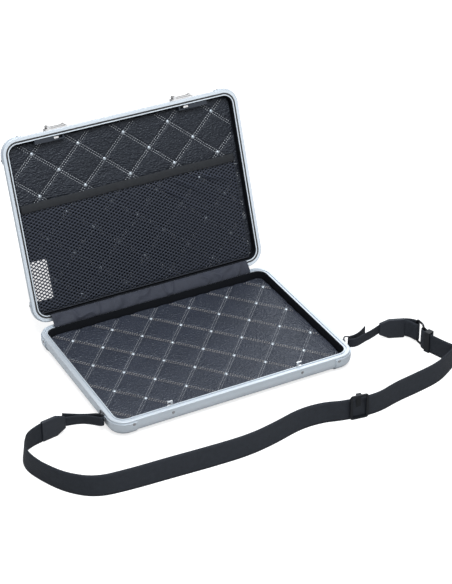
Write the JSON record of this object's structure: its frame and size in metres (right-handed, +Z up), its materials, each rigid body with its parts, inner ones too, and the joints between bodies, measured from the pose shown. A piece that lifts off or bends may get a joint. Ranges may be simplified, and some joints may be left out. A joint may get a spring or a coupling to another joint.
{
  "type": "laptop hard case",
  "caption": "Slim hard case for a laptop: metal framed tray and hinged lid with quilted pads, net pocket, lever latches, corner guards and a webbing shoulder strap.",
  "frame": {"origin": "Centre of the underside of the tray's bottom panel", "axes": "+X right along the front edge, +Y from the latches to the hinge, +Z up; the tray lies flat and the lid stands open"},
  "size_m": [0.6541, 0.5082, 0.3016],
  "materials": {
    "anodised_frame": "satin, silver anodised",
    "black_panel": "smooth dark laminate",
    "guard_metal": "satin, with soft edges",
    "steel": "satin",
    "chrome": "polished",
    "leatherette": "grained, quilted with grey thread",
    "lining": "plain dark lining",
    "gusset_cloth": "soft, creased",
    "net_cloth": "open mesh",
    "elastic": "ribbed band",
    "card": "matt white",
    "rubber_seal": "matt",
    "webbing": "woven, fine ribs",
    "connector_plastic": "stitched tab, soft grain",
    "dark_plastic": "fine moulded texture",
    "dark_metal": "black, worn at the edges"
  },
  "bodies": {
    "tray": {"hinge_gusset": "gusset_cloth", "hinge_pin": "steel", "hinge_tray_leaf": "anodised_frame", "hinge_tray_rivets": "steel", "strap_adjuster": "dark_plastic", "strap_connector_left": "connector_plastic", "strap_connector_right": "connector_plastic", "strap_eye": "dark_metal", "strap_keeper": "dark_plastic", "strap_lug_left": "steel", "strap_lug_right": "steel", "strap_lug_rivets": "steel", "strap_narrow_left": "webbing", "strap_narrow_right": "webbing", "strap_webbing_long": "webbing", "strap_webbing_short": "webbing", "striker_left": "steel", "striker_right": "steel", "striker_rivets": "steel", "tray_frame": "anodised_frame", "tray_guard_front_left": "guard_metal", "tray_guard_front_right": "guard_metal", "tray_guard_rear_left": "guard_metal", "tray_guard_rear_right": "guard_metal", "tray_guard_rivets": "steel", "tray_liner": "lining", "tray_pad": "leatherette", "tray_panel": "black_panel", "tray_studs": "chrome"},
    "lid": {"hinge_lid_leaf": "anodised_frame", "hinge_lid_rivets": "steel", "latch_base_left": "steel", "latch_base_right": "steel", "latch_housing_left": "dark_plastic", "latch_housing_right": "dark_plastic", "latch_pins": "steel", "latch_rivets": "steel", "lid_frame": "anodised_frame", "lid_guard_front_left": "guard_metal", "lid_guard_front_right": "guard_metal", "lid_guard_rear_left": "guard_metal", "lid_guard_rear_right": "guard_metal", "lid_guard_rivets": "steel", "lid_liner": "lining", "lid_pad": "leatherette", "lid_panel": "black_panel", "lid_seal": "rubber_seal", "lid_studs": "chrome", "pocket_card": "card", "pocket_elastic": "elastic", "pocket_net": "net_cloth"},
    "latch_lever_left": {"latch_lever_left": "steel"},
    "latch_catch_left": {"latch_catch_left": "chrome"},
    "strap_ring_left": {"strap_ring_left": "dark_metal"},
    "latch_lever_right": {"latch_lever_right": "steel"},
    "latch_catch_right": {"latch_catch_right": "chrome"},
    "strap_ring_right": {"strap_ring_right": "dark_metal"}
  },
  "joints": [
    {"name": "lid_hinge", "type": "hinge", "parent": "tray", "child": "lid", "pos_m": [0, 0.14375, 0.0219], "axis": [1, 0, 0], "range_deg": [0, 108.8], "deforming": ["hinge_gusset"]},
    {"name": "latch_lever_left_turn", "type": "hinge", "parent": "lid", "child": "latch_lever_left", "pos_m": [-0.1165, 0.24241, 0.29402], "axis": [0, -0.9466, 0.3223], "range_deg": [0, 70]},
    {"name": "latch_catch_left_slide", "type": "slide", "parent": "lid", "child": "latch_catch_left", "axis": [-1, 0, 0], "range_m": [0, 0.005]},
    {"name": "latch_lever_right_turn", "type": "hinge", "parent": "lid", "child": "latch_lever_right", "pos_m": [0.0915, 0.24241, 0.29402], "axis": [0, -0.9466, 0.3223], "range_deg": [0, 70]},
    {"name": "latch_catch_right_slide", "type": "slide", "parent": "lid", "child": "latch_catch_right", "axis": [1, 0, 0], "range_m": [0, 0.005]},
    {"name": "strap_ring_left_swing", "type": "hinge", "parent": "tray", "child": "strap_ring_left", "pos_m": [-0.1978, -0.099, 0.0136], "axis": [0, 0, 1], "range_deg": [-60, 12], "deforming": ["strap_narrow_left"]},
    {"name": "strap_ring_right_swing", "type": "hinge", "parent": "tray", "child": "strap_ring_right", "pos_m": [0.1978, -0.099, 0.0136], "axis": [0, 0, 1], "range_deg": [-50, 60], "deforming": ["strap_narrow_right"]}
  ],
  "couplings": [
    {"joint": "latch_lever_left_turn", "follows": "latch_catch_left_slide", "rad_per_m": 244.3},
    {"joint": "latch_lever_right_turn", "follows": "latch_catch_right_slide", "rad_per_m": 244.3}
  ]
}
